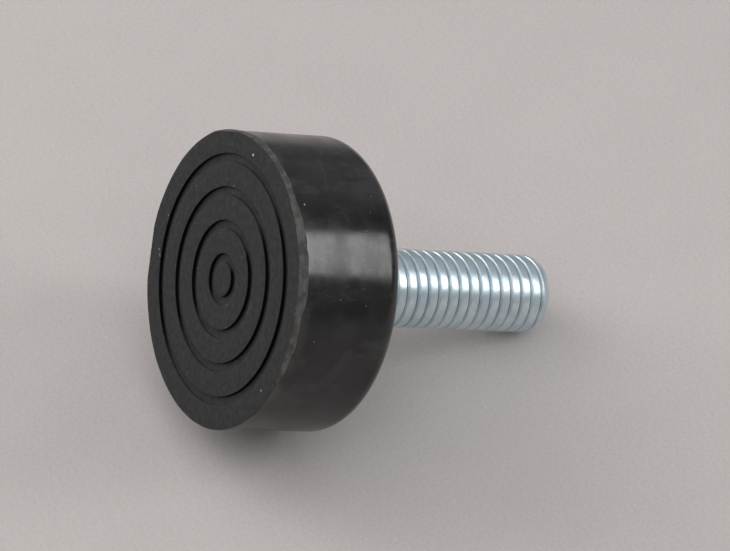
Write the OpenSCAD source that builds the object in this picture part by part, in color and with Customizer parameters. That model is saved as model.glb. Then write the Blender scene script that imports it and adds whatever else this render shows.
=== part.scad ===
// Rubber buffer with a threaded stud: a round rubber pad with ring grooves in its
// face, moulded round a steel plate, with a screw stud pressed through the plate.
// The grooved face lies on z = 0 and the stud points along +Z.

/* [Pad] */
// Outer diameter of the pad, over the lip round its face
pad_d = 30; // [28:0.5:40]
// Height of the pad from its grooved face to its back
pad_h = 12; // [10:0.5:20]
// How far the lip at the face stands out from the side
lip_proud = 0.15; // [0.05:0.05:0.4]
// Height of the lip, measured from the face
lip_h = 0.5; // [0.4:0.1:1]
// Width of the small bevel between the face and the lip
lip_bevel_w = 0.3; // [0.1:0.05:0.5]
// Height of the small bevel between the face and the lip
lip_bevel_h = 0.2; // [0.1:0.05:0.3]
// Radius of the rounded edge between the side and the back
back_edge_r = 1.6; // [0.5:0.1:2]

/* [Grooves] */
// Number of ring grooves in the face
groove_count = 4; // [1:1:4]
// Radius of the middle line of the smallest groove
groove_first_r = 2.15; // [1.5:0.05:2.4]
// Distance from one groove's middle line to the next
groove_pitch = 3.32; // [1.5:0.01:3.4]
// Width of each groove at the face
groove_w = 0.9; // [0.4:0.1:1.2]
// Depth of each groove
groove_depth = 0.35; // [0.2:0.05:1.5]
// Lean of each groove wall, from the face to the floor
groove_draft_w = 0.05; // [0.02:0.01:0.1]

/* [Hand trimmed edge] */
// How far each knife cut reaches in from the side, at the face
trim_w = 0.35; // [0.2:0.05:0.5]

/* [Back plate] */
// Diameter of the steel plate, which lies flush in the back of the pad
plate_d = 23; // [17:0.5:24]
// Thickness of the steel plate
plate_t = 2; // [1:0.25:3]
// Width of the chamfer round the plate's front rim
plate_chamfer = 0.3; // [0.1:0.1:0.5]

/* [Stud] */
// Outer diameter of the stud's thread
stud_d = 8; // [6:0.5:10]
// Length of the stud that stands out of the back of the pad
stud_l = 25; // [10:1:60]
// How far the neck, pressed into the plate, is wider than the thread on each side
neck_step = 0.5; // [0.25:0.25:0.75]
// Diameter of the stud's flat head, in front of the plate
head_d = 13; // [12:0.5:16]
// Thickness of the stud's flat head
head_t = 1.5; // [1:0.25:3]
// Width of the chamfer at the stud's tip
tip_chamfer_w = 0.6; // [0.2:0.1:1]
// Height of the chamfer at the stud's tip
tip_chamfer_h = 1; // [0.3:0.1:2]

/* [Hidden] */
$fn = 96;

// Knife cuts along the edge of the face: direction round the pad in degrees, height up the side.
trim_cuts = [[-142, 0.5], [-123, 0.6], [-101, 0.85], [-83, 1.1], [-63, 0.6]];

lip_r = pad_d / 2;
side_r = lip_r - lip_proud;
lip_slope_h = lip_proud / 2;
neck_d = stud_d + 2 * neck_step;
plate_z = pad_h - plate_t;
head_z = plate_z - head_t;
tip_z = pad_h + stud_l;
// How far a cutting shape runs on past the surface that it opens
overrun = 1;
// Side of the block that each knife cut takes away
knife_block = lip_r;

// Half section of the pad, before the grooves are cut
module pad_outline() {
    polygon([
        [0, 0],
        [lip_r - lip_bevel_w, 0],
        [lip_r, lip_bevel_h],
        [lip_r, lip_h - lip_slope_h],
        [side_r, lip_h],
        [side_r, pad_h - back_edge_r],
        [side_r - back_edge_r, pad_h - back_edge_r],
        [side_r - back_edge_r, pad_h],
        [0, pad_h]
    ]);
    translate([side_r - back_edge_r, pad_h - back_edge_r])
        intersection() {
            circle(r = back_edge_r);
            square(back_edge_r);
        }
}

// Section of one ring groove, a little narrower at its floor
module groove_section(mid_r) {
    floor_half = groove_w / 2 - groove_draft_w;
    mouth_half = groove_w / 2 + groove_draft_w * overrun / groove_depth;
    polygon([
        [mid_r - mouth_half, -overrun],
        [mid_r + mouth_half, -overrun],
        [mid_r + floor_half, groove_depth],
        [mid_r - floor_half, groove_depth]
    ]);
}

// One flat knife cut that slopes from the face up to the side
module trim_cut(direction, height) {
    lean = atan(trim_w / height);
    rotate([0, 0, direction])
        translate([side_r - trim_w, 0, 0])
            rotate([0, lean, 0])
                translate([0, -knife_block / 2, -overrun])
                    cube([knife_block, knife_block, height + 2 * overrun]);
}

// Disc of the plate up to the given height, with its front rim chamfered
module plate_disc(top_z) {
    rotate_extrude()
        polygon([
            [0, plate_z],
            [plate_d / 2 - plate_chamfer, plate_z],
            [plate_d / 2, plate_z + plate_chamfer],
            [plate_d / 2, top_z],
            [0, top_z]
        ]);
}

// Round bar on the middle line, between two heights
module bar(d, from_z, to_z) {
    translate([0, 0, from_z]) cylinder(d = d, h = to_z - from_z);
}

module rubber_pad() {
    color([0.16, 0.16, 0.17])
        difference() {
            rotate_extrude() pad_outline();
            for (i = [0 : groove_count - 1])
                rotate_extrude() groove_section(groove_first_r + i * groove_pitch);
            for (cut = trim_cuts) trim_cut(cut[0], cut[1]);
            plate_disc(pad_h + overrun);
            bar(head_d, head_z, pad_h);
        }
}

module back_plate() {
    color([0.62, 0.65, 0.68])
        difference() {
            plate_disc(pad_h);
            bar(neck_d, plate_z - overrun, pad_h + overrun);
        }
}

module threaded_stud() {
    color([0.78, 0.84, 0.86]) {
        bar(head_d, head_z, plate_z);
        bar(neck_d, head_z, pad_h);
        bar(stud_d, head_z, tip_z - tip_chamfer_h);
        translate([0, 0, tip_z - tip_chamfer_h])
            cylinder(d1 = stud_d, d2 = stud_d - 2 * tip_chamfer_w, h = tip_chamfer_h);
    }
}

rubber_pad();
back_plate();
threaded_stud();
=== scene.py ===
"""Looks of a rubber buffer: a ring-grooved rubber pad moulded round a steel plate, with a threaded stud.

Every length is in metres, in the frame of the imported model: the grooved face lies on z = 0 and the
stud points along +Z. The table under the buffer leans, because the part rests on the rim of its pad
and on the tip of its stud.
"""
import logging
from dataclasses import dataclass, field
from enum import Enum
from math import acos, asin, atan, atan2, cos, hypot, radians, sin, tau
from random import Random

import bmesh
import bpy
from mathutils import Matrix, Vector


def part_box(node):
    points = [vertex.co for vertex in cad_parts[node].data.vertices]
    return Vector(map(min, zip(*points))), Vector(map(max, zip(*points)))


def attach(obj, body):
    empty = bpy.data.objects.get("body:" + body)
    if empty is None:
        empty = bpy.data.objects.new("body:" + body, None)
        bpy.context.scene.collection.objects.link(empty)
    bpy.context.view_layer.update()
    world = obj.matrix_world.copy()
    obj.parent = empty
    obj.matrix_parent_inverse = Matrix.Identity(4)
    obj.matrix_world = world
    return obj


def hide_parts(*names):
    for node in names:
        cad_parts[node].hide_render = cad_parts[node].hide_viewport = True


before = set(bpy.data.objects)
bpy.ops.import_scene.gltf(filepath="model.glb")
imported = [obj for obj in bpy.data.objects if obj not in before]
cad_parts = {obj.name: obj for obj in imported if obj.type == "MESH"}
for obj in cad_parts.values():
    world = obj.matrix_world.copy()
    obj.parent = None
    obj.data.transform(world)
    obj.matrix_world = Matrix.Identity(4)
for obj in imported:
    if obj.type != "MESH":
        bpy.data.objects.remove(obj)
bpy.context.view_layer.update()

Socket = bpy.types.NodeSocket
Value = Socket | float | tuple

LOG = logging.getLogger("buffer")
MM = 0.001
MERGE = 1e-7
ROOT_BODY = "root"
# Vertex value from 0 to 1 that paints shade onto the groove walls facing away from the lamps.
PAINTED_SHADE_WALL = "painted_shade_wall"


# ---------------------------------------------------------------- modelling by hand


def deselect_everything() -> None:
    """Leaves object mode with nothing selected, so that an operator acts on the new piece alone."""
    if bpy.context.object is not None and bpy.context.object.mode != "OBJECT":
        bpy.ops.object.mode_set(mode="OBJECT")
    bpy.ops.object.select_all(action="DESELECT")


def arc_corner(
    before: tuple[float, float],
    corner: tuple[float, float],
    after: tuple[float, float],
    radius: float,
    steps: int,
) -> list[tuple[float, float]]:
    """Rounds one corner of a section.

    Args:
        before: The corner before it, as (distance from the axis, height).
        corner: The corner to round.
        after: The corner after it.
        radius: Radius of the rounding.
        steps: Number of straight lengths along the arc.

    Returns:
        The points along the arc.
    """
    here = Vector(corner)
    to_before = (Vector(before) - here).normalized()
    to_after = (Vector(after) - here).normalized()
    half = to_before.angle(to_after) / 2
    reach = radius / abs(sin(half) / cos(half))
    centre = here + (to_before + to_after).normalized() * (radius / sin(half))
    start = here + to_before * reach - centre
    end = here + to_after * reach - centre
    turn = start.angle_signed(end)
    points = []
    for step in range(steps + 1):
        angle = -turn * step / steps
        spoke = Vector(
            (
                start.x * cos(angle) - start.y * sin(angle),
                start.x * sin(angle) + start.y * cos(angle),
            )
        )
        points.append(tuple(centre + spoke))
    return points


@dataclass(frozen=True)
class Corner:
    """One corner of a turned section, in millimetres."""

    r: float
    z: float
    round: float = 0.0
    steps: int = 4
    split: int = 1


def section(corners: list[Corner]) -> list[tuple[float, float]]:
    """Draws a section through its corners, rounding those that have a radius.

    Args:
        corners: The corners in order. The first and the last stay sharp. Each one's split says into
            how many lengths the straight that leads to it is cut.

    Returns:
        The points in metres, as (distance from the axis, height).
    """
    points: list[tuple[float, float]] = []
    for index, corner in enumerate(corners):
        here = (corner.r, corner.z)
        if corner.round and 0 < index < len(corners) - 1:
            before = (corners[index - 1].r, corners[index - 1].z)
            after = (corners[index + 1].r, corners[index + 1].z)
            new = arc_corner(before, here, after, corner.round, corner.steps)
        else:
            new = [here]
        if points and corner.split > 1:
            last = points[-1]
            for cut in range(1, corner.split):
                share = cut / corner.split
                points.append(
                    (
                        last[0] + (new[0][0] - last[0]) * share,
                        last[1] + (new[0][1] - last[1]) * share,
                    )
                )
        points.extend(new)
    return [(r * MM, z * MM) for r, z in points]


def draw_line(name: str, points: list[tuple[float, float]]) -> bpy.types.Object:
    """Draws a section as a line of edges in the XZ plane, one extrusion after another.

    Args:
        name: Name of the new piece.
        points: The section's points, as (distance from the axis, height).

    Returns:
        The new object, in edit mode with all of its line selected.
    """
    deselect_everything()
    first_r, first_z = points[0]
    bpy.ops.mesh.primitive_plane_add(size=MM, location=(0, 0, 0))
    piece = bpy.context.object
    piece.name = name
    piece.data.name = name
    bpy.ops.object.mode_set(mode="EDIT")
    bpy.ops.mesh.select_all(action="SELECT")
    bpy.ops.mesh.merge(type="CENTER")
    bpy.ops.transform.translate(value=(first_r, 0, first_z))
    last = points[0]
    for point in points[1:]:
        step = (point[0] - last[0], 0, point[1] - last[1])
        bpy.ops.mesh.extrude_region_move(TRANSFORM_OT_translate={"value": step})
        last = point
    bpy.ops.mesh.select_all(action="SELECT")
    return piece


def turn_on_lathe(
    name: str, points: list[tuple[float, float]], steps: int
) -> bpy.types.Object:
    """Turns a section once round the Z axis into a closed shape.

    Args:
        name: Name of the new piece.
        points: The section, as (distance from the axis, height).
        steps: Number of steps round the axis.

    Returns:
        The turned piece, in object mode, with its faces pointing outwards.
    """
    piece = draw_line(name, points)
    bpy.ops.mesh.spin(steps=steps, angle=tau, center=(0, 0, 0), axis=(0, 0, 1))
    close_up()
    bpy.ops.object.mode_set(mode="OBJECT")
    return piece


def take_up(piece: bpy.types.Object) -> None:
    """Makes one piece the active one, with nothing else selected.

    Args:
        piece: The piece to work on.
    """
    deselect_everything()
    piece.select_set(True)
    bpy.context.view_layer.objects.active = piece


def close_up() -> None:
    """Merges the doubles of the mesh in edit mode and turns its faces outwards."""
    bpy.ops.mesh.select_all(action="SELECT")
    bpy.ops.mesh.remove_doubles(threshold=MERGE)
    bpy.ops.mesh.normals_make_consistent(inside=False)


def soften(piece: bpy.types.Object, angle_deg: float) -> None:
    """Shades a piece smooth, with edges sharper than the angle left crisp.

    Args:
        piece: The piece to shade.
        angle_deg: The sharpest turn that is still shaded smooth.
    """
    take_up(piece)
    bpy.ops.object.shade_smooth_by_angle(angle=radians(angle_deg))


# ---------------------------------------------------------------- shader building


@dataclass
class Wiring:
    """Adds nodes to one tree and links them, so that a finish reads as a list of steps."""

    tree: bpy.types.NodeTree

    def node(self, kind: str, **values: object) -> bpy.types.Node:
        """Adds a node.

        Args:
            kind: The node's type.
            values: Its properties by name.

        Returns:
            The new node.
        """
        made = self.tree.nodes.new(kind)
        for name, value in values.items():
            setattr(made, name, value)
        return made

    def join(self, source: Socket, target: Socket) -> None:
        """Links one socket to another."""
        self.tree.links.new(source, target)

    def feed(self, target: Socket, value: Value) -> None:
        """Links a socket to an input, or sets the input to a plain value.

        Args:
            target: The input.
            value: A socket, a number or a tuple.
        """
        if isinstance(value, Socket):
            self.join(value, target)
        else:
            target.default_value = value

    def maths(self, operation: str, a: Value, b: Value = 0.0, clamp: bool = False) -> Socket:
        """A Math node on two values.

        Args:
            operation: The node's operation.
            a: The first value.
            b: The second value.
            clamp: Whether the result is held between 0 and 1.

        Returns:
            The result's socket.
        """
        made = self.node("ShaderNodeMath", operation=operation, use_clamp=clamp)
        self.feed(made.inputs[0], a)
        self.feed(made.inputs[1], b)
        return made.outputs[0]

    def ramp(
        self, value: Socket, low: float, high: float, to_low: float = 0.0, to_high: float = 1.0
    ) -> Socket:
        """Maps a value smoothly from one range to another, and holds it there.

        Args:
            value: The value's socket.
            low: Where the ramp starts.
            high: Where the ramp ends.
            to_low: What the start becomes.
            to_high: What the end becomes.

        Returns:
            The result's socket.
        """
        made = self.node("ShaderNodeMapRange", interpolation_type="SMOOTHSTEP")
        self.feed(made.inputs["Value"], value)
        made.inputs["From Min"].default_value = low
        made.inputs["From Max"].default_value = high
        made.inputs["To Min"].default_value = to_low
        made.inputs["To Max"].default_value = to_high
        return made.outputs["Result"]

    def blend(self, factor: Value, a: Value, b: Value) -> Socket:
        """Mixes two colours.

        Args:
            factor: 0 gives the first, 1 the second.
            a: The first colour.
            b: The second colour.

        Returns:
            The mixed colour's socket.
        """
        made = self.node("ShaderNodeMix", data_type="RGBA")
        self.feed(made.inputs["Factor"], factor)
        self.feed(made.inputs[6], a)
        self.feed(made.inputs[7], b)
        return made.outputs[2]

    def noise(
        self, place: Socket, scale: float, detail: float = 3.0, rough: float = 0.55
    ) -> Socket:
        """Soft noise from 0 to 1.

        Args:
            place: The coordinates' socket.
            scale: Number of features in a metre.
            detail: Number of finer layers.
            rough: How strongly the finer layers show.

        Returns:
            The noise's socket.
        """
        made = self.node("ShaderNodeTexNoise")
        self.feed(made.inputs["Vector"], place)
        made.inputs["Scale"].default_value = scale
        made.inputs["Detail"].default_value = detail
        made.inputs["Roughness"].default_value = rough
        return made.outputs["Fac"]

    def stretched(self, place: Socket, scale: tuple[float, float, float]) -> Socket:
        """Coordinates drawn out along some axes, for streaks.

        Args:
            place: The coordinates' socket.
            scale: Scale along each axis.

        Returns:
            The new coordinates' socket.
        """
        made = self.node("ShaderNodeMapping")
        self.feed(made.inputs["Vector"], place)
        made.inputs["Scale"].default_value = scale
        return made.outputs["Vector"]

    def lay_over(self, base: Socket, mask: Socket, share: float, colour: tuple) -> Socket:
        """Lays a colour over another where a mask says so.

        Args:
            base: The colour underneath.
            mask: Where the new colour lies, from 0 to 1.
            share: How much of it shows where the mask is 1.
            colour: The new colour.

        Returns:
            The resulting colour's socket.
        """
        return self.blend(self.maths("MULTIPLY", mask, share), base, colour)

    def roughen(
        self, shader: bpy.types.Node, height: Socket, distance: float, strength: float
    ) -> None:
        """Gives a shader a fine bump.

        Args:
            shader: The Principled node.
            height: The height's socket.
            distance: How high the bump is, in metres.
            strength: How much of it shows, from 0 to 1.
        """
        bump = self.node("ShaderNodeBump")
        bump.inputs["Distance"].default_value = distance
        bump.inputs["Strength"].default_value = strength
        self.join(height, bump.inputs["Height"])
        self.join(bump.outputs["Normal"], shader.inputs["Normal"])


def group_frame(
    name: str, inputs: list[tuple[str, str, float]], outputs: list[tuple[str, str]]
) -> tuple[bpy.types.NodeTree, Wiring, bpy.types.Node, bpy.types.Node]:
    """Starts a shader node group with named sockets.

    Args:
        name: The group's name.
        inputs: Each input's name, socket type and default, which a vector has none of.
        outputs: Each output's name and socket type.

    Returns:
        The group, its wiring, its input node and its output node.
    """
    group = bpy.data.node_groups.new(name, "ShaderNodeTree")
    for label, kind, default in inputs:
        made = group.interface.new_socket(label, in_out="INPUT", socket_type=kind)
        if kind == "NodeSocketFloat":
            made.default_value = default
    for label, kind in outputs:
        group.interface.new_socket(label, in_out="OUTPUT", socket_type=kind)
    wiring = Wiring(group)
    return group, wiring, wiring.node("NodeGroupInput"), wiring.node("NodeGroupOutput")


def dust_group() -> bpy.types.NodeTree:
    """Builds the shared dust effect.

    Returns:
        A group that gives a mask of scattered pale flecks, of which only some cells hold one.
    """
    group, w, given, out = group_frame(
        "dust_flecks",
        [
            ("Vector", "NodeSocketVector", 0.0),
            ("Flecks In A Metre", "NodeSocketFloat", 900.0),
            ("Fleck Size", "NodeSocketFloat", 0.12),
            ("Share Of Cells", "NodeSocketFloat", 0.25),
        ],
        [("Mask", "NodeSocketFloat")],
    )
    cells = w.node("ShaderNodeTexVoronoi", feature="F1")
    w.join(given.outputs["Vector"], cells.inputs["Vector"])
    w.join(given.outputs["Flecks In A Metre"], cells.inputs["Scale"])
    split = w.node("ShaderNodeSeparateColor")
    w.join(cells.outputs["Color"], split.inputs["Color"])
    chosen = w.maths("LESS_THAN", split.outputs["Red"], given.outputs["Share Of Cells"])
    wanted = w.maths("MULTIPLY", split.outputs["Green"], given.outputs["Fleck Size"])
    near = w.maths("SUBTRACT", wanted, cells.outputs["Distance"])
    soft = w.maths("DIVIDE", near, given.outputs["Fleck Size"])
    edge = w.maths("MULTIPLY", soft, 4.0, clamp=True)
    w.join(w.maths("MULTIPLY", edge, chosen), out.inputs["Mask"])
    return group


def grain_group() -> bpy.types.NodeTree:
    """Builds the shared grain effect.

    Returns:
        A group that gives a fine height for bump and a slow, blotchy tone from 0 to 1.
    """
    group, w, given, out = group_frame(
        "surface_grain",
        [
            ("Vector", "NodeSocketVector", 0.0),
            ("Grain Scale", "NodeSocketFloat", 9000.0),
            ("Blotch Scale", "NodeSocketFloat", 400.0),
        ],
        [("Height", "NodeSocketFloat"), ("Blotch", "NodeSocketFloat")],
    )
    fine = w.node("ShaderNodeTexNoise")
    w.join(given.outputs["Vector"], fine.inputs["Vector"])
    w.join(given.outputs["Grain Scale"], fine.inputs["Scale"])
    fine.inputs["Detail"].default_value = 3.0
    slow = w.node("ShaderNodeTexNoise")
    w.join(given.outputs["Vector"], slow.inputs["Vector"])
    w.join(given.outputs["Blotch Scale"], slow.inputs["Scale"])
    slow.inputs["Detail"].default_value = 4.0
    slow.inputs["Roughness"].default_value = 0.6
    w.join(fine.outputs["Fac"], out.inputs["Height"])
    w.join(w.ramp(slow.outputs["Fac"], 0.3, 0.7), out.inputs["Blotch"])
    return group


def scratch_group() -> bpy.types.NodeTree:
    """Builds the shared scratch effect.

    Returns:
        A group that gives a mask of thin, wandering lines, broken up along their length.
    """
    group, w, given, out = group_frame(
        "fine_scratches",
        [
            ("Vector", "NodeSocketVector", 0.0),
            ("Scale", "NodeSocketFloat", 120.0),
            ("Width", "NodeSocketFloat", 0.012),
            ("Broken", "NodeSocketFloat", 0.55),
        ],
        [("Mask", "NodeSocketFloat")],
    )
    lines = w.node("ShaderNodeTexNoise")
    w.join(given.outputs["Vector"], lines.inputs["Vector"])
    w.join(given.outputs["Scale"], lines.inputs["Scale"])
    lines.inputs["Detail"].default_value = 1.0
    from_middle = w.maths("ABSOLUTE", w.maths("SUBTRACT", lines.outputs["Fac"], 0.5))
    inside = w.maths("SUBTRACT", given.outputs["Width"], from_middle)
    thin = w.maths("DIVIDE", inside, given.outputs["Width"], clamp=True)
    breaks = w.node("ShaderNodeTexNoise")
    w.join(given.outputs["Vector"], breaks.inputs["Vector"])
    w.join(w.maths("MULTIPLY", given.outputs["Scale"], 3.0), breaks.inputs["Scale"])
    kept = w.maths("GREATER_THAN", breaks.outputs["Fac"], given.outputs["Broken"])
    w.join(w.maths("MULTIPLY", thin, kept), out.inputs["Mask"])
    return group


@dataclass(frozen=True)
class SharedEffects:
    """The node groups that more than one finish uses."""

    dust: bpy.types.NodeTree
    grain: bpy.types.NodeTree
    scratches: bpy.types.NodeTree


def shared_effects() -> SharedEffects:
    """Builds each shared effect once."""
    return SharedEffects(dust_group(), grain_group(), scratch_group())


@dataclass(frozen=True)
class Finish:
    """What every finish has: a name and a start on its material."""

    name: str

    def blank(self) -> tuple[bpy.types.Material, Wiring, bpy.types.Node, Socket]:
        """Makes an empty material.

        Returns:
            The material, its wiring, its Principled node and the Object coordinates' socket.
        """
        material = bpy.data.materials.new(self.name)
        material.use_nodes = True
        material.node_tree.nodes.clear()
        w = Wiring(material.node_tree)
        shader = w.node("ShaderNodeBsdfPrincipled")
        output = w.node("ShaderNodeOutputMaterial")
        w.join(shader.outputs[0], output.inputs["Surface"])
        place = w.node("ShaderNodeTexCoord").outputs["Object"]
        return material, w, shader, place

    @staticmethod
    def placed(
        w: Wiring, group: bpy.types.NodeTree, place: Socket, **values: float
    ) -> bpy.types.Node:
        """Puts a shared effect into a material.

        Args:
            w: The material's wiring.
            group: The effect.
            place: The coordinates' socket.
            values: Its inputs, with _ for each space in their names.

        Returns:
            The group's node.
        """
        made = w.node("ShaderNodeGroup", node_tree=group)
        w.join(place, made.inputs["Vector"])
        for name, value in values.items():
            made.inputs[name.replace("_", " ")].default_value = value
        return made


def grey(level: float) -> tuple[float, float, float, float]:
    """A neutral colour of one level."""
    return (level, level, level, 1.0)


@dataclass(frozen=True)
class Fleck:
    """One larger fleck of dust on the rubber: where it lies, in millimetres, and how big it is."""

    x: float
    y: float
    z: float
    size: float
    tone: float


@dataclass(frozen=True)
class FaceRubber(Finish):
    """Matt black rubber of the grooved face, a little dusty, with painted shade on the groove walls that
    face away from the lamps.
    """

    name: str = "face_rubber"
    dark: tuple = (0.018, 0.019, 0.019, 1.0)
    light: tuple = (0.028, 0.0285, 0.028, 1.0)
    # Near-black painted shade for the groove walls that face away from the lamps.
    wall_shade_colour: tuple = (0.003, 0.003, 0.003, 1.0)
    dust: tuple = (0.12, 0.122, 0.12, 1.0)
    roughness: float = 0.62
    grain_depth: float = 0.02 * MM
    flecks: tuple[Fleck, ...] = ()

    def make(self, effects: SharedEffects) -> bpy.types.Material:
        """Builds the material.

        Args:
            effects: The shared node groups.

        Returns:
            The material.
        """
        material, w, shader, place = self.blank()
        grain = self.placed(w, effects.grain, place, Grain_Scale=9000.0, Blotch_Scale=1500.0)
        base = w.blend(grain.outputs["Blotch"], self.dark, self.light)
        fine_dust = self.placed(
            w, effects.dust, place, Flecks_In_A_Metre=1700.0, Fleck_Size=0.22, Share_Of_Cells=0.45
        )
        drift = w.ramp(w.noise(place, 260.0, 2.0), 0.42, 0.62)
        veil = w.maths("MULTIPLY", fine_dust.outputs["Mask"], drift)
        base = w.lay_over(base, veil, 0.75, self.dust)
        lines = self.placed(w, effects.scratches, place, Scale=150.0, Width=0.006, Broken=0.6)
        base = w.lay_over(base, lines.outputs["Mask"], 0.22, self.dust)
        base = self.add_flecks(w, place, base)
        # Painted shade: groove walls facing away from the lamps are laid near-black and reflect less.
        wall_shade = w.node("ShaderNodeAttribute", attribute_name=PAINTED_SHADE_WALL).outputs["Fac"]
        w.join(w.blend(wall_shade, base, self.wall_shade_colour), shader.inputs["Base Color"])
        w.join(w.ramp(wall_shade, 0.0, 1.0, 0.3, 0.05), shader.inputs["Specular IOR Level"])
        shade = w.ramp(grain.outputs["Blotch"], 0.0, 1.0, self.roughness + 0.05, self.roughness - 0.04)
        w.join(shade, shader.inputs["Roughness"])
        w.roughen(shader, grain.outputs["Height"], self.grain_depth, 0.5)
        return material

    def add_flecks(self, w: Wiring, place: Socket, base: Socket) -> Socket:
        """Lays the larger flecks over a colour.

        Args:
            w: The material's wiring.
            place: The coordinates' socket.
            base: The colour's socket.

        Returns:
            The new colour's socket.
        """
        for fleck in self.flecks:
            away = w.node("ShaderNodeVectorMath", operation="DISTANCE")
            w.join(place, away.inputs[0])
            away.inputs[1].default_value = (fleck.x * MM, fleck.y * MM, fleck.z * MM)
            spot = w.ramp(away.outputs["Value"], fleck.size * MM, 0.4 * fleck.size * MM)
            base = w.blend(spot, base, grey(fleck.tone))
        return base


@dataclass(frozen=True)
class SideRubber(FaceRubber):
    """Half-gloss black rubber of the moulded side and back, smeared by handling."""

    name: str = "side_rubber"
    dark: tuple = (0.006, 0.006, 0.0065, 1.0)
    light: tuple = (0.016, 0.016, 0.0165, 1.0)
    lip_dust: tuple = (0.070, 0.062, 0.054, 1.0)
    gloss: float = 0.15
    dull: float = 0.27

    def make(self, effects: SharedEffects) -> bpy.types.Material:
        """Builds the material.

        Args:
            effects: The shared node groups.

        Returns:
            The material.
        """
        material, w, shader, place = self.blank()
        grain = self.placed(w, effects.grain, place, Grain_Scale=5200.0, Blotch_Scale=330.0)
        base = w.blend(grain.outputs["Blotch"], self.dark, self.light)
        fine_dust = self.placed(
            w, effects.dust, place, Flecks_In_A_Metre=1100.0, Fleck_Size=0.15, Share_Of_Cells=0.35
        )
        base = w.lay_over(base, fine_dust.outputs["Mask"], 0.6, self.dust)
        smears = w.noise(w.stretched(place, (300.0, 300.0, 150.0)), 1.0, 4.0, 0.65)
        haze = w.ramp(smears, 0.48, 0.68)
        base = w.lay_over(base, haze, 0.16, self.dust)
        lines = self.placed(w, effects.scratches, place, Scale=110.0, Width=0.008, Broken=0.55)
        base = w.lay_over(base, lines.outputs["Mask"], 0.16, self.dust)
        split = w.node("ShaderNodeSeparateXYZ")
        w.join(place, split.inputs[0])
        near_lip = w.ramp(split.outputs["Z"], 1.9 * MM, 0.7 * MM)
        settled = w.maths("MULTIPLY", near_lip, w.ramp(w.noise(place, 350.0), 0.35, 0.6))
        base = w.lay_over(base, settled, 0.45, self.lip_dust)
        w.join(self.add_flecks(w, place, base), shader.inputs["Base Color"])
        wiped = w.noise(w.stretched(place, (90.0, 90.0, 420.0)), 1.0, 4.0, 0.6)
        worn = w.maths("MULTIPLY", w.maths("ADD", wiped, smears), 0.5)
        w.join(w.ramp(worn, 0.38, 0.62, self.gloss, self.dull), shader.inputs["Roughness"])
        w.roughen(shader, w.maths("ADD", grain.outputs["Height"], smears), 0.006 * MM, 0.25)
        return material


@dataclass(frozen=True)
class CutRubber(FaceRubber):
    """Bare rubber where the edge was trimmed with a knife: paler, matt, with fine cut marks."""

    name: str = "cut_rubber"
    dark: tuple = (0.052, 0.049, 0.046, 1.0)
    light: tuple = (0.120, 0.112, 0.105, 1.0)

    def make(self, effects: SharedEffects) -> bpy.types.Material:
        """Builds the material.

        Args:
            effects: The shared node groups.

        Returns:
            The material.
        """
        material, w, shader, place = self.blank()
        grain = self.placed(w, effects.grain, place, Grain_Scale=6500.0, Blotch_Scale=900.0)
        drawn = w.noise(w.stretched(place, (500.0, 500.0, 5200.0)), 1.0, 2.0)
        tone = w.maths("MULTIPLY", w.maths("ADD", grain.outputs["Blotch"], drawn), 0.5)
        base = w.blend(w.ramp(tone, 0.3, 0.8), self.dark, self.light)
        w.join(self.add_flecks(w, place, base), shader.inputs["Base Color"])
        shader.inputs["Roughness"].default_value = 0.7
        w.roughen(shader, w.maths("ADD", drawn, grain.outputs["Height"]), 0.03 * MM, 0.6)
        return material


@dataclass(frozen=True)
class ZincPlating(Finish):
    """Bright zinc plating with a cold tint over a rolled or stamped steel surface."""

    name: str = "zinc_plating"
    clear: tuple = (0.77, 0.88, 0.92, 1.0)
    cloudy: tuple = (0.63, 0.75, 0.81, 1.0)
    gloss: float = 0.31
    dull: float = 0.43
    grain_scale: float = 5200.0
    grain_depth: float = 0.012 * MM
    # Where the thread's roots are laid darker: inside this radius, below this height, by this share, in
    # this colour.
    root_dark_r: float = 3.64
    root_dark_end_z: float = 36.4
    root_darkening: float = 0.0
    root_dark_colour: tuple = (0.10, 0.12, 0.14, 1.0)

    def make(self, effects: SharedEffects) -> bpy.types.Material:
        """Builds the material.

        Args:
            effects: The shared node groups.

        Returns:
            The material.
        """
        material, w, shader, place = self.blank()
        grain = self.placed(
            w, effects.grain, place, Grain_Scale=self.grain_scale, Blotch_Scale=700.0
        )
        lines = self.placed(w, effects.scratches, place, Scale=420.0, Width=0.02, Broken=0.5)
        base = w.blend(grain.outputs["Blotch"], self.clear, self.cloudy)
        base = w.lay_over(base, lines.outputs["Mask"], 0.15, self.cloudy)
        # The thread's roots are laid darker, fading out just short of the tip.
        split = w.node("ShaderNodeSeparateXYZ")
        w.join(place, split.inputs[0])
        squares = [w.maths("POWER", split.outputs[axis], 2.0) for axis in ("X", "Y")]
        reach = w.maths("SQRT", w.maths("ADD", squares[0], squares[1]))
        sunk = w.ramp(reach, (self.root_dark_r + 0.14) * MM, self.root_dark_r * MM)
        below_tip = w.ramp(split.outputs["Z"], self.root_dark_end_z * MM, (self.root_dark_end_z - 0.5) * MM)
        in_root = w.maths("MULTIPLY", sunk, below_tip)
        base = w.lay_over(base, in_root, self.root_darkening, self.root_dark_colour)
        w.join(base, shader.inputs["Base Color"])
        shader.inputs["Metallic"].default_value = 1.0
        shade = w.ramp(grain.outputs["Blotch"], 0.0, 1.0, self.gloss, self.dull)
        w.join(shade, shader.inputs["Roughness"])
        w.roughen(shader, grain.outputs["Height"], self.grain_depth, 0.4)
        return material


# ---------------------------------------------------------------- the rubber pad


@dataclass(frozen=True)
class KnifeCut:
    """One flat stroke of the knife along the edge of the face.

    The direction is measured round the pad as seen on its face, from -Y towards -X, in degrees.
    reach is how far the cut goes in from the side at the face, and height how far it goes up the
    side, in millimetres.
    """

    direction: float
    height: float
    reach: float = 0.25


class PadSurface(Enum):
    """The three surfaces of the pad and the material slot of each."""

    SIDE = 0
    FACE = 1
    CUT = 2


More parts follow.
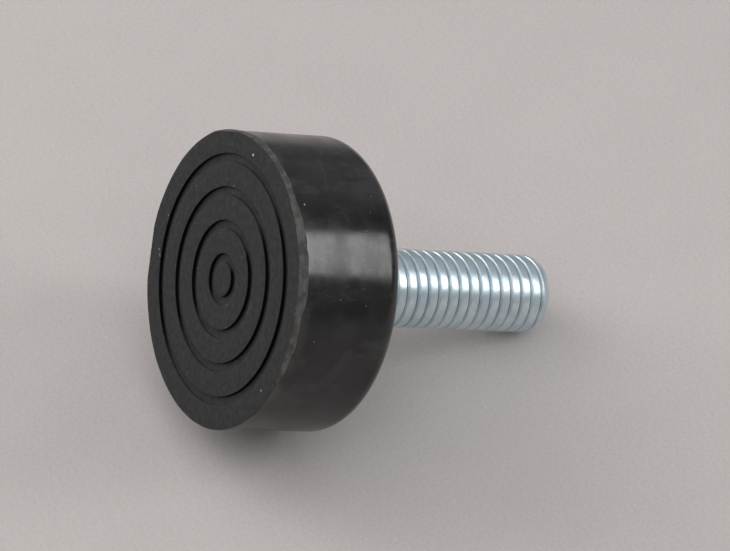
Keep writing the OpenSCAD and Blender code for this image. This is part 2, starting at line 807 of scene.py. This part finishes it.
TRIM_PATH = (
    KnifeCut(90, 0.30, 0.16),
    KnifeCut(76, 0.72, 0.20),
    KnifeCut(64, 0.62, 0.24),
    KnifeCut(53, 0.52, 0.20),
    KnifeCut(42, 0.60, 0.20),
    KnifeCut(31, 0.56, 0.25),
    KnifeCut(23, 0.82, 0.24),
    KnifeCut(13, 0.94, 0.18),
    KnifeCut(3, 1.02, 0.22),
    KnifeCut(-3, 1.00, 0.26),
    KnifeCut(-9, 0.72, 0.24),
    KnifeCut(-14, 0.56, 0.16),
    KnifeCut(-24, 0.70, 0.22),
    KnifeCut(-30, 0.30, 0.20),
)

LEFT_NICK = KnifeCut(171, 0.45, 0.18)

KNIFE_SEED = 7

# Slow waves of the lip: how far in millimetres, how many round the pad, and where each starts.
LIP_WAVES = ((0.014, 7, 1.0), (0.012, 13, 4.0), (0.007, 29, 0.0))


def strokes_along(path: tuple[KnifeCut, ...], spacing: float, waver: float) -> list[KnifeCut]:
    """Fills in a knife's short strokes between the ones that are given.

    Args:
        path: Strokes in order round the pad, by falling direction.
        spacing: Degrees from one stroke to the next.
        waver: How far each stroke may stray in height, as a share of it.

    Returns:
        The strokes, evenly spaced.
    """
    hand = Random(KNIFE_SEED)
    strokes = []
    for first, last in zip(path, path[1:]):
        span = first.direction - last.direction
        count = max(1, round(span / spacing))
        for index in range(count):
            share = index / count
            height = first.height + (last.height - first.height) * share
            reach = first.reach + (last.reach - first.reach) * share
            strayed = 1.0 + hand.uniform(-waver, waver)
            strokes.append(KnifeCut(first.direction - span * share, height * strayed, reach))
    return strokes + [path[-1]]


FACE_FLECKS = (
    Fleck(-12.37, -4.83, 0.0, 0.17, 0.75),
    Fleck(-2.72, 12.84, 0.0, 0.15, 0.26),
    Fleck(-2.02, 12.56, 0.0, 0.12, 0.30),
    Fleck(-9.27, -1.46, 0.0, 0.13, 0.22),
    Fleck(7.00, -5.73, 0.0, 0.12, 0.24),
    Fleck(10.66, -8.57, 0.0, 0.17, 0.24),
    Fleck(-5.39, -0.27, 0.0, 0.14, 0.14),
    Fleck(-6.18, 11.26, 0.0, 0.15, 0.17),
    Fleck(-6.85, 9.89, 0.0, 0.16, 0.15),
    Fleck(-6.45, 10.10, 0.0, 0.11, 0.13),
    Fleck(-5.43, 9.04, 0.0, 0.12, 0.10),
    Fleck(-2.19, 12.67, 0.0, 0.14, 0.20),
    Fleck(-1.42, 12.09, 0.0, 0.15, 0.16),
    Fleck(-0.43, 7.95, 0.0, 0.12, 0.11),
    Fleck(-1.12, 9.46, 0.0, 0.11, 0.12),
    Fleck(-0.99, 4.80, 0.0, 0.12, 0.12),
    Fleck(-7.39, -1.45, 0.0, 0.10, 0.10),
    Fleck(4.29, 1.32, 0.0, 0.10, 0.10),
)

SIDE_FLECKS = (
    Fleck(-7.67, -12.71, 1.39, 0.13, 0.35),
    Fleck(1.42, -14.78, 4.76, 0.12, 0.12),
    Fleck(6.83, -13.19, 6.9, 0.85, 0.020),
    Fleck(7.60, -12.76, 6.6, 0.95, 0.022),
    Fleck(8.30, -12.31, 6.3, 0.95, 0.022),
    Fleck(9.00, -11.81, 6.0, 0.85, 0.020),
)


def round_the_pad(direction: float) -> Vector:
    """The unit vector at a direction round the pad, in degrees from -Y towards -X."""
    return Vector((-sin(radians(direction)), -cos(radians(direction)), 0.0))


@dataclass
class RubberPad:
    """The moulded rubber pad, round a seat for the plate and a pocket for the stud's head.

    Sizes are in millimetres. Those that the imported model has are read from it.
    """

    lip_r: float
    height: float
    plate_r: float
    plate_z: float
    head_r: float
    head_z: float
    lip_proud: float = 0.15
    lip_h: float = 0.5
    back_edge_r: float = 1.6
    groove_first_r: float = 2.15
    groove_pitch: float = 3.32
    groove_w: float = 0.9
    groove_depth: float = 0.35
    groove_draft: float = 0.05
    groove_count: int = 4
    parting_z: float = 9.05
    parting_ridge: float = 0.005
    # Direction round the pad, in degrees, that the walls given painted shade face.
    shaded_side: float = -28.0
    steps: int = 300
    path: tuple[KnifeCut, ...] = TRIM_PATH
    stroke_gap: float = 3.6
    stroke_waver: float = 0.05
    side_r: float = field(init=False)

    def __post_init__(self) -> None:
        """Works out the radius of the side, behind the lip."""
        self.side_r = self.lip_r - self.lip_proud

    def groove(self, middle: float) -> list[Corner]:
        """The section of one ring groove, with slightly rounded edges.

        Args:
            middle: Radius of the groove's middle line.

        Returns:
            The groove's corners, from the inside out.
        """
        mouth = self.groove_w / 2
        floor = mouth - self.groove_draft
        depth = self.groove_depth
        return [
            Corner(middle - mouth, 0.0, 0.06, 5, 3),
            Corner(middle - floor, depth, 0.06, 3),
            Corner(middle + floor, depth, 0.06, 3, 2),
            Corner(middle + mouth, 0.0, 0.06, 5),
        ]

    def corners(self) -> list[Corner]:
        """The pad's whole section.

        Returns:
            Its corners, from the middle of the face round to the stud's pocket.
        """
        drawn = [Corner(0.0, 0.0)]
        for index in range(self.groove_count):
            drawn += self.groove(self.groove_first_r + index * self.groove_pitch)
        side, lip = self.side_r, self.lip_r
        ridge_r = side + self.parting_ridge
        drawn += [
            Corner(lip - 0.08, 0.0, 0.05, 3, 4),
            Corner(lip, 0.13, 0.07, 3),
            Corner(lip, self.lip_h - self.lip_proud / 2, 0.05, 3),
            Corner(side, self.lip_h, 0.05, 3),
            Corner(side, self.parting_z - 0.15, 0.0, 1, 26),
            Corner(ridge_r, self.parting_z - 0.03),
            Corner(ridge_r, self.parting_z + 0.03),
            Corner(side, self.parting_z + 0.15),
            Corner(side, self.height, self.back_edge_r, 14, 4),
            Corner(self.plate_r, self.height, 0.12, 4, 3),
            Corner(self.plate_r, self.plate_z + 0.3, 0.0, 1, 2),
            Corner(self.plate_r - 0.3, self.plate_z),
            Corner(self.head_r, self.plate_z, 0.0, 1, 3),
            Corner(self.head_r, self.head_z),
            Corner(0.0, self.head_z, 0.0, 1, 3),
        ]
        return drawn

    def build(self) -> bpy.types.Object:
        """Turns the pad, gives it slight waves and trims its edge with the knife.

        Returns:
            The pad, with its faces assigned to PadSurface's slots.
        """
        pad = turn_on_lathe("moulded_pad", section(self.corners()), self.steps)
        for surface in PadSurface:
            pad.data.materials.append(bpy.data.materials.new(f"unset_{surface.name}"))
        self.paint_face(pad)
        self.paint_wall_shade(pad)
        self.let_lip_wander(pad)
        for stroke in strokes_along(self.path, self.stroke_gap, self.stroke_waver) + [LEFT_NICK]:
            self.cut(pad, stroke)
        soften(pad, 32.0)
        self.crisp_cut_edges(pad)
        return pad

    def paint_face(self, pad: bpy.types.Object) -> None:
        """Gives the grooved face its own slot, out to the lip's edge.

        Args:
            pad: The turned pad.
        """
        limit = (self.groove_depth + 0.02) * MM
        for polygon in pad.data.polygons:
            middle = polygon.center
            level = middle.z < limit
            inside = hypot(middle.x, middle.y) < (self.lip_r - 0.06) * MM
            polygon.material_index = (PadSurface.FACE if level and inside else PadSurface.SIDE).value

    def paint_wall_shade(self, pad: bpy.types.Object) -> None:
        """Marks the groove walls that face away from the lamps, so that the face's material paints them
        near-black as painted shade.

        Args:
            pad: The turned pad, whose mesh gets a value from 0 to 1 at each vertex.
        """
        marks = pad.data.attributes.new(PAINTED_SHADE_WALL, "FLOAT", "POINT")
        away = round_the_pad(self.shaded_side)
        inner = (self.lip_r - 0.8) * MM
        for vertex, normal, mark in zip(pad.data.vertices, pad.data.vertex_normals, marks.data):
            in_groove = 0.0 < vertex.co.z < (self.groove_depth + 0.01) * MM
            if in_groove and hypot(vertex.co.x, vertex.co.y) < inner:
                mark.value = min(1.0, max(0.0, (normal.vector.dot(away) - 0.30) / 0.30))

    def let_lip_wander(self, pad: bpy.types.Object) -> None:
        """Lets the radius of the lip wander a little, as a hand-trimmed flash does.

        Args:
            pad: The turned pad.
        """
        start = (self.groove_first_r + 3 * self.groove_pitch + 1.2) * MM
        top = self.lip_h * MM
        for vertex in pad.data.vertices:
            x, y, z = vertex.co
            reach = hypot(x, y)
            if reach < start or z > top:
                continue
            round_angle = atan2(-x, -y)
            share = min(1.0, (reach - start) / (1.2 * MM)) * (1.0 - z / top)
            wave = sum(far * sin(count * round_angle + start_at) for far, count, start_at in LIP_WAVES)
            grown = 1.0 + share * wave * MM / reach
            vertex.co = (x * grown, y * grown, z)

    def cut(self, pad: bpy.types.Object, stroke: KnifeCut) -> None:
        """Cuts one flat off the edge of the face.

        Args:
            pad: The pad.
            stroke: The knife's stroke.
        """
        outward = round_the_pad(stroke.direction)
        lean = atan(stroke.reach / stroke.height)
        normal = outward * cos(lean) - Vector((0, 0, 1)) * sin(lean)
        point = outward * ((self.side_r - stroke.reach) * MM)
        take_up(pad)
        bpy.ops.object.mode_set(mode="EDIT")
        bpy.ops.mesh.select_all(action="SELECT")
        bpy.ops.mesh.bisect(
            plane_co=point, plane_no=normal, use_fill=True, clear_outer=True, threshold=1e-8
        )
        shape = bmesh.from_edit_mesh(pad.data)
        for face in shape.faces:
            flat_on = face.normal.dot(normal) > 0.9999
            if flat_on and abs((face.calc_center_median() - point).dot(normal)) < 1e-6:
                face.material_index = PadSurface.CUT.value
        bmesh.update_edit_mesh(pad.data)
        bpy.ops.object.mode_set(mode="OBJECT")

    def crisp_cut_edges(self, pad: bpy.types.Object) -> None:
        """Marks the border of the knife-cut faces sharp, so that their flats read as flats.

        Args:
            pad: The trimmed pad.
        """
        take_up(pad)
        bpy.ops.object.mode_set(mode="EDIT")
        shape = bmesh.from_edit_mesh(pad.data)
        for edge in shape.edges:
            kinds = {face.material_index for face in edge.link_faces}
            if PadSurface.CUT.value in kinds and len(kinds) > 1:
                edge.smooth = False
        bmesh.update_edit_mesh(pad.data)
        bpy.ops.object.mode_set(mode="OBJECT")

    def dress(self, pad: bpy.types.Object, effects: SharedEffects) -> None:
        """Gives each surface of the pad its finish.

        Args:
            pad: The pad.
            effects: The shared node groups.
        """
        finishes = {
            PadSurface.SIDE: SideRubber(flecks=SIDE_FLECKS),
            PadSurface.FACE: FaceRubber(flecks=FACE_FLECKS),
            PadSurface.CUT: CutRubber(),
        }
        for surface, finish in finishes.items():
            unset = pad.data.materials[surface.value]
            pad.data.materials[surface.value] = finish.make(effects)
            bpy.data.materials.remove(unset)


# ---------------------------------------------------------------- the back plate


@dataclass
class BackPlate:
    """The stamped steel plate that lies flush in the back of the pad. Sizes in millimetres."""

    outer_r: float
    hole_r: float
    low_z: float
    high_z: float
    chamfer: float = 0.3
    edge_round: float = 0.12
    steps: int = 160

    def build(self) -> bpy.types.Object:
        """Turns the plate with its rounded, stamped rims.

        Returns:
            The plate.
        """
        middle = (self.low_z + self.high_z) / 2
        corners = [
            Corner(self.hole_r, middle),
            Corner(self.hole_r, self.low_z),
            Corner(self.outer_r - self.chamfer, self.low_z, 0.0, 1, 6),
            Corner(self.outer_r, self.low_z + self.chamfer),
            Corner(self.outer_r, self.high_z, self.edge_round, 5, 2),
            Corner(self.hole_r + 0.9, self.high_z, 0.0, 1, 8),
            Corner(self.hole_r + 0.45, self.high_z - 0.10, 0.2, 4),
            Corner(self.hole_r + 0.12, self.high_z - 0.02, 0.1, 3),
            Corner(self.hole_r, self.high_z - 0.12, 0.05, 3),
            Corner(self.hole_r, middle),
        ]
        plate = turn_on_lathe("stamped_plate", section(corners), self.steps)
        soften(plate, 30.0)
        return plate


# ---------------------------------------------------------------- the stud


@dataclass
class ThreadedStud:
    """The stud with its flat head, its pressed neck and its rolled thread. Sizes in millimetres."""

    thread_r: float
    head_r: float
    neck_r: float
    head_z: float
    plate_z: float
    pad_back_z: float
    tip_z: float
    pitch: float = 1.25
    thread_depth: float = 0.36
    crest: float = 0.88
    root: float = 0.05
    low_shoulder: float = 0.18
    high_shoulder: float = 0.10
    run_out: float = 1.6
    start_rise: float = 0.29
    snap: float = 2e-6
    chamfer_w: float = 0.6
    chamfer_h: float = 1.0
    steps: int = 120

    def thread_line(self) -> list[tuple[float, float]]:
        """The line of one pitch of the thread.

        Returns:
            Its points in metres, from one root's middle to the next.
        """
        flank = (self.pitch - self.crest - self.root) / 2
        outer, inner = self.thread_r, self.thread_r - self.thread_depth
        corners = [
            Corner(inner, 0.0),
            Corner(inner, self.root / 2, self.root / 2, 3),
            Corner(outer, self.root / 2 + flank, self.low_shoulder, 7, 3),
            Corner(outer, self.root / 2 + flank + self.crest, self.high_shoulder, 6),
            Corner(inner, self.pitch - self.root / 2, self.root / 2, 3, 3),
            Corner(inner, self.pitch),
        ]
        return section(corners)

    def build(self) -> bpy.types.Object:
        """Winds the thread, ends it in a run-out and a chamfer, and adds the neck and the head.

        Returns:
            The stud.
        """
        stud = draw_line("rolled_stud", self.thread_line())
        bpy.ops.object.mode_set(mode="OBJECT")
        turns = int((self.tip_z - self.pad_back_z) / self.pitch) + 4
        self.wind(stud, turns)
        self.trim_ends(stud)
        self.fade_thread(stud)
        self.add_neck_and_head(stud)
        soften(stud, 40.0)
        for polygon in stud.data.polygons:
            if abs(polygon.normal.z) > 0.999:
                polygon.use_smooth = False
        return stud

    def wind(self, stud: bpy.types.Object, turns: int) -> None:
        """Winds one pitch into a right-hand helix that starts below the back of the pad.

        Args:
            stud: The line of one pitch.
            turns: Number of turns.
        """
        helix = stud.modifiers.new("helix", "SCREW")
        helix.axis = "Z"
        helix.angle = tau
        helix.screw_offset = self.pitch * MM
        helix.iterations = turns
        helix.steps = self.steps
        helix.render_steps = self.steps
        helix.use_merge_vertices = True
        helix.merge_threshold = MERGE
        bpy.ops.object.modifier_apply(modifier=helix.name)
        bpy.ops.object.mode_set(mode="EDIT")
        bpy.ops.mesh.select_all(action="SELECT")
        bpy.ops.mesh.remove_doubles(threshold=1e-6)
        start = (self.pad_back_z - 2 * self.pitch + self.start_rise) * MM
        bpy.ops.transform.translate(value=(0, 0, start))
        bpy.ops.object.mode_set(mode="OBJECT")

    def trim_ends(self, stud: bpy.types.Object) -> None:
        """Cuts the helix off flat at the back of the pad and at the tip, and closes it.

        Args:
            stud: The wound helix.
        """
        for height, side in ((self.pad_back_z, -1.0), (self.tip_z, 1.0)):
            bpy.ops.object.mode_set(mode="EDIT")
            bpy.ops.mesh.select_all(action="SELECT")
            bpy.ops.mesh.bisect(
                plane_co=(0, 0, height * MM),
                plane_no=(0, 0, side),
                clear_outer=True,
                threshold=self.snap,
            )
            bpy.ops.mesh.select_all(action="SELECT")
            bpy.ops.mesh.remove_doubles(threshold=self.snap)
            bpy.ops.mesh.select_all(action="DESELECT")
            shape = bmesh.from_edit_mesh(stud.data)
            for edge in shape.edges:
                at_cut = all(abs(end.co.z - height * MM) < 2 * self.snap for end in edge.verts)
                edge.select = at_cut and edge.is_boundary
            shape.select_flush(False)
            bmesh.update_edit_mesh(stud.data)
            bpy.ops.mesh.edge_face_add()
            bpy.ops.object.mode_set(mode="OBJECT")
        bpy.ops.object.mode_set(mode="EDIT")
        bpy.ops.mesh.select_all(action="SELECT")
        bpy.ops.mesh.normals_make_consistent(inside=False)
        bpy.ops.object.mode_set(mode="OBJECT")

    def fade_thread(self, stud: bpy.types.Object) -> None:
        """Lets the thread run out towards the pad, and turns the tip down to its chamfer.

        Args:
            stud: The trimmed helix.
        """
        outer = self.thread_r * MM
        tip, high = self.tip_z * MM, self.chamfer_h * MM
        for vertex in stud.data.vertices:
            x, y, z = vertex.co
            reach = hypot(x, y)
            if reach < outer / 2:
                continue
            share = min(1.0, max(0.0, (z - self.pad_back_z * MM) / (self.run_out * MM)))
            share = share * share * (3 - 2 * share)
            wanted = outer - (outer - reach) * share
            from_tip = max(0.0, 1.0 - (tip - z) / high)
            cone = outer - self.chamfer_w * MM * from_tip**1.6
            wanted = min(wanted, cone)
            vertex.co = (x * wanted / reach, y * wanted / reach, z)

    def add_neck_and_head(self, stud: bpy.types.Object) -> None:
        """Extrudes the bottom cap outwards and down into the neck and the head.

        Args:
            stud: The faded helix.
        """
        bpy.ops.object.mode_set(mode="EDIT")
        bpy.ops.mesh.select_all(action="DESELECT")
        shape = bmesh.from_edit_mesh(stud.data)
        shape.faces.ensure_lookup_table()
        for face in shape.faces:
            at_back = abs(face.calc_center_median().z - self.pad_back_z * MM) < 1e-6
            face.select = at_back and face.normal.z < -0.99
        bmesh.update_edit_mesh(stud.data)
        rings = [
            (self.neck_r, self.pad_back_z),
            (self.neck_r, self.plate_z),
            (self.head_r - 0.1, self.plate_z),
            (self.head_r, self.plate_z - 0.1),
            (self.head_r, self.head_z + 0.1),
            (self.head_r - 0.1, self.head_z),
        ]
        last_r, last_z = self.thread_r, self.pad_back_z
        for reach, height in rings:
            bpy.ops.mesh.extrude_region_move(
                TRANSFORM_OT_translate={"value": (0, 0, (height - last_z) * MM)}
            )
            grow = reach / last_r
            bpy.ops.transform.resize(
                value=(grow, grow, 1.0), center_override=(0, 0, height * MM)
            )
            last_r, last_z = reach, height
        close_up()
        bpy.ops.object.mode_set(mode="OBJECT")


# ---------------------------------------------------------------- camera, table and lamps


@dataclass(frozen=True)
class Viewpoint:
    """Where the camera stands, as seen from the buffer.

    axis_turn is the angle between the stud and the line of sight, and axis_drop how far the stud
    dips to the right, in degrees. face_centre is the middle of the grooved face in the picture, in
    pixels, and focal is the camera's focal length in the same pixels.
    """

    axis_turn: float = 57.84
    axis_drop: float = -2.83
    face_centre: tuple[float, float] = (221.95, 279.23)
    picture: tuple[int, int] = (730, 551)
    focal: float = 4990.0
    distance: float = 495.0 * MM
    sensor: float = 36.0

    def stud_axis(self) -> Vector:
        """The stud's direction in the camera's axes: right, up and back."""
        turn, drop = radians(self.axis_turn), radians(self.axis_drop)
        return Vector((sin(turn) * cos(drop), sin(turn) * sin(drop), -cos(turn)))

    def to_frame(self) -> Matrix:
        """Turns a direction from the camera's axes to the model's frame.

        Returns:
            The rotation that does so.
        """
        stud = self.stud_axis()
        nearest = (Vector((0, 0, 1)) - stud * stud.z).normalized()
        upward = nearest.cross(stud)
        return Matrix((-upward, -nearest, stud))

    def place(self) -> Matrix:
        """Works out where the camera stands in the model's frame.

        Returns:
            Its place and turn.
        """
        turn = self.to_frame()
        across = (self.face_centre[0] - self.picture[0] / 2) / self.focal
        down = (self.face_centre[1] - self.picture[1] / 2) / self.focal
        face = Vector((across, -down, -1.0)) * self.distance
        return Matrix.Translation(turn @ -face) @ turn.to_4x4()

    def make_camera(self) -> bpy.types.Object:
        """Makes the camera and hands it to the scene.

        Returns:
            The camera.
        """
        data = bpy.data.cameras.new("bench_camera")
        data.sensor_width = self.sensor
        data.lens = self.sensor * self.focal / self.picture[0]
        data.clip_start, data.clip_end = 0.01, 10.0
        camera = bpy.data.objects.new("bench_camera", data)
        bpy.context.scene.collection.objects.link(camera)
        camera.matrix_world = self.place()
        bpy.context.scene.camera = camera
        return camera


@dataclass(frozen=True)
class Softbox:
    """A large soft lamp: its direction from the buffer in the camera's axes, and its size."""

    name: str
    toward: tuple[float, float, float]
    distance: float
    width: float
    height: float
    power: float
    colour: tuple[float, float, float] = (1.0, 1.0, 1.0)

    def hang(self, view: Viewpoint, target: Vector) -> None:
        """Hangs the lamp so that it faces the buffer.

        Args:
            view: The viewpoint, whose axes give the direction.
            target: The point that the lamp faces.
        """
        turn = view.to_frame()
        direction = (turn @ Vector(self.toward)).normalized()
        data = bpy.data.lights.new(self.name, "AREA")
        data.shape = "RECTANGLE"
        data.size, data.size_y = self.width, self.height
        data.energy = self.power
        data.color = self.colour
        lamp = bpy.data.objects.new(self.name, data)
        bpy.context.scene.collection.objects.link(lamp)
        lamp.location = target + direction * self.distance
        upward = turn @ Vector((0, 1, 0))
        across = upward.cross(direction).normalized()
        lamp.matrix_world = Matrix.Translation(lamp.location) @ Matrix(
            (across, direction.cross(across), direction)
        ).transposed().to_4x4()
        lamp.visible_camera = False


@dataclass
class Bench:
    """The pale table that the buffer lies on, the lamps over it and the room's faint light."""

    view: Viewpoint
    pad: RubberPad
    stud: ThreadedStud
    table_r: float = 300.0 * MM
    fade_from: float = 62.0 * MM
    fade_to: float = 95.0 * MM
    table_colour: tuple = (0.61, 0.565, 0.545, 1.0)
    backdrop: tuple = (0.51, 0.47, 0.455, 1.0)
    room_light: float = 0.22

    def lean(self) -> float:
        """Works out the lean of a buffer that rests on the pad's back rim and the stud's tip.

        Returns:
            The angle between the stud and the table.
        """
        rim_r = self.pad.side_r - self.pad.back_edge_r - self.stud.thread_r
        tip_edge = self.stud.tip_z - self.stud.chamfer_h
        rim_z = tip_edge - (self.pad.height - self.pad.back_edge_r)
        return atan2(rim_r, rim_z) + asin(self.pad.back_edge_r / hypot(rim_r, rim_z))

    def upright(self) -> Vector:
        """Works out how the table faces a camera that is held level.

        Returns:
            The table's normal in the camera's axes.
        """
        stud = self.view.stud_axis()
        reach = hypot(stud.y, stud.z)
        rise = atan2(stud.z, stud.y) + acos(-sin(self.lean()) / reach)
        return Vector((0.0, cos(rise), sin(rise)))

    def depth(self) -> float:
        """Works out how far below the frame's origin the table lies.

        Returns:
            The distance in metres.
        """
        lean = self.lean()
        tip_edge = (self.stud.tip_z - self.stud.chamfer_h) * MM
        return self.stud.thread_r * MM * cos(lean) + tip_edge * sin(lean)

    def lay_table(self) -> bpy.types.Object:
        """Lays the table under the buffer.

        Returns:
            The table.
        """
        normal = self.view.to_frame() @ self.upright()
        deselect_everything()
        bpy.ops.mesh.primitive_circle_add(vertices=128, radius=self.table_r, fill_type="NGON")
        table = bpy.context.object
        table.name = "table"
        ahead = self.view.to_frame() @ Vector((0, 0, -1))
        eye = self.view.place().translation
        fall = (-self.depth() - eye.dot(normal)) / ahead.dot(normal)
        centre = eye + ahead * fall
        facing = normal.to_track_quat("Z", "Y").to_matrix().to_4x4()
        table.matrix_world = Matrix.Translation(centre) @ facing
        table.data.materials.append(self.table_finish())
        return table

    def table_finish(self) -> bpy.types.Material:
        """Builds the table's pale paper, which fades into the backdrop and is clear from behind.

        Returns:
            The material.
        """
        material = bpy.data.materials.new("table_paper")
        material.use_nodes = True
        w = Wiring(material.node_tree)
        shader = material.node_tree.nodes["Principled BSDF"]
        output = material.node_tree.nodes["Material Output"]
        place = w.node("ShaderNodeTexCoord").outputs["Object"]
        fibre = w.noise(place, 2600.0, 3.0, 0.7)
        cloud = w.noise(place, 90.0, 2.0, 0.5)
        tone = w.maths("ADD", w.ramp(fibre, 0.2, 0.8, 0.93, 1.07), w.ramp(cloud, 0.3, 0.7, -0.012, 0.012))
        paper = w.node("ShaderNodeVectorMath", operation="SCALE")
        paper.inputs[0].default_value = self.table_colour[:3]
        w.join(tone, paper.inputs["Scale"])
        w.join(paper.outputs[0], shader.inputs["Base Color"])
        shader.inputs["Roughness"].default_value = 0.9
        shader.inputs["Specular IOR Level"].default_value = 0.2
        clear = w.node("ShaderNodeBsdfTransparent")
        mix = w.node("ShaderNodeMixShader")
        path = w.node("ShaderNodeLightPath")
        behind = w.node("ShaderNodeNewGeometry").outputs["Backfacing"]
        far = w.node("ShaderNodeVectorMath", operation="LENGTH")
        w.join(place, far.inputs[0])
        faded = w.ramp(far.outputs["Value"], self.fade_from, self.fade_to)
        hidden = w.maths("MAXIMUM", faded, behind)
        w.join(w.maths("MULTIPLY", hidden, path.outputs["Is Camera Ray"]), mix.inputs[0])
        w.join(shader.outputs[0], mix.inputs[1])
        w.join(clear.outputs[0], mix.inputs[2])
        w.join(mix.outputs[0], output.inputs["Surface"])
        return material

    def light_room(self) -> None:
        """Gives the room its faint light, and the camera a pale backdrop in its place."""
        world = bpy.data.worlds.new("room")
        bpy.context.scene.world = world
        world.use_nodes = True
        w = Wiring(world.node_tree)
        light = world.node_tree.nodes["Background"]
        output = world.node_tree.nodes["World Output"]
        light.inputs["Color"].default_value = (0.96, 0.98, 1.0, 1.0)
        light.inputs["Strength"].default_value = self.room_light
        seen = w.node("ShaderNodeBackground")
        seen.inputs["Color"].default_value = self.backdrop
        path = w.node("ShaderNodeLightPath")
        mix = w.node("ShaderNodeMixShader")
        w.join(path.outputs["Is Camera Ray"], mix.inputs[0])
        w.join(light.outputs[0], mix.inputs[1])
        w.join(seen.outputs[0], mix.inputs[2])
        w.join(mix.outputs[0], output.inputs["Surface"])

    def hang_lamps(self) -> None:
        """Hangs the softboxes."""
        target = Vector((0, 0, 10 * MM))
        lamps = (
            Softbox("right_softbox", (0.87, 0.30, 0.39), 0.42, 0.10, 0.20, 0.36),
            Softbox("left_softbox", (-0.78, 0.62, 0.02), 0.42, 0.34, 0.30, 0.72),
            Softbox("front_softbox", (-0.80, 0.25, 0.55), 0.45, 0.40, 0.40, 0.15),
            Softbox("camera_softbox", (0.0, 0.14, 0.99), 0.62, 0.50, 0.50, 0.55),
            Softbox("back_softbox", (0.55, 0.80, -0.22), 0.45, 0.35, 0.25, 0.040),
            Softbox("top_softbox", (-0.06, 0.70, 0.71), 0.45, 0.80, 0.80, 1.00),
        )
        for lamp in lamps:
            lamp.hang(self.view, target)


# ---------------------------------------------------------------- putting it together


def in_mm(node: str) -> tuple[Vector, Vector]:
    """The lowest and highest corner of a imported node.

    Args:
        node: The node's name.

    Returns:
        Both corners, in millimetres.
    """
    low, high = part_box(node)
    return low / MM, high / MM


def main() -> None:
    """Builds the three pieces, the bench and the camera, and reports each piece."""
    logging.basicConfig(level=logging.INFO, format="%(name)s: %(message)s")
    pad_low, pad_high = in_mm("rubber_pad")
    plate_low, plate_high = in_mm("back_plate")
    stud_low, stud_high = in_mm("threaded_stud")
    thread_r, neck_r = 4.0, 4.5
    effects = shared_effects()
    pad = RubberPad(
        lip_r=pad_high.x,
        height=pad_high.z,
        plate_r=plate_high.x,
        plate_z=plate_low.z,
        head_r=stud_high.x,
        head_z=stud_low.z,
    )
    plate = BackPlate(
        outer_r=plate_high.x, hole_r=neck_r, low_z=plate_low.z, high_z=plate_high.z
    )
    stud = ThreadedStud(
        thread_r=thread_r,
        head_r=stud_high.x,
        neck_r=neck_r,
        head_z=stud_low.z,
        plate_z=plate_low.z,
        pad_back_z=pad_high.z,
        tip_z=stud_high.z,
    )
    pad_piece = pad.build()
    pad.dress(pad_piece, effects)
    plate_piece = plate.build()
    plate_piece.data.materials.append(
        ZincPlating(name="plate_zinc", gloss=0.3, dull=0.5, grain_scale=3000.0).make(effects)
    )
    stud_piece = stud.build()
    stud_piece.data.materials.append(ZincPlating(name="stud_zinc", root_darkening=0.8).make(effects))
    stands_for = (
        (pad_piece, "rubber_pad", "black_rubber"),
        (plate_piece, "back_plate", "plate_steel"),
        (stud_piece, "threaded_stud", "zinc_stud"),
    )
    for piece, node, slot in stands_for:
        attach(piece, ROOT_BODY)
        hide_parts(node)
        LOG.info("%s stands for %s, %d faces", piece.name, node, len(piece.data.polygons))
    view = Viewpoint()
    view.make_camera()
    bench = Bench(view, pad, stud)
    bench.lay_table()
    bench.light_room()
    bench.hang_lamps()
    bpy.context.scene.view_settings.view_transform = "Standard"


if __name__ == "__main__":
    main()
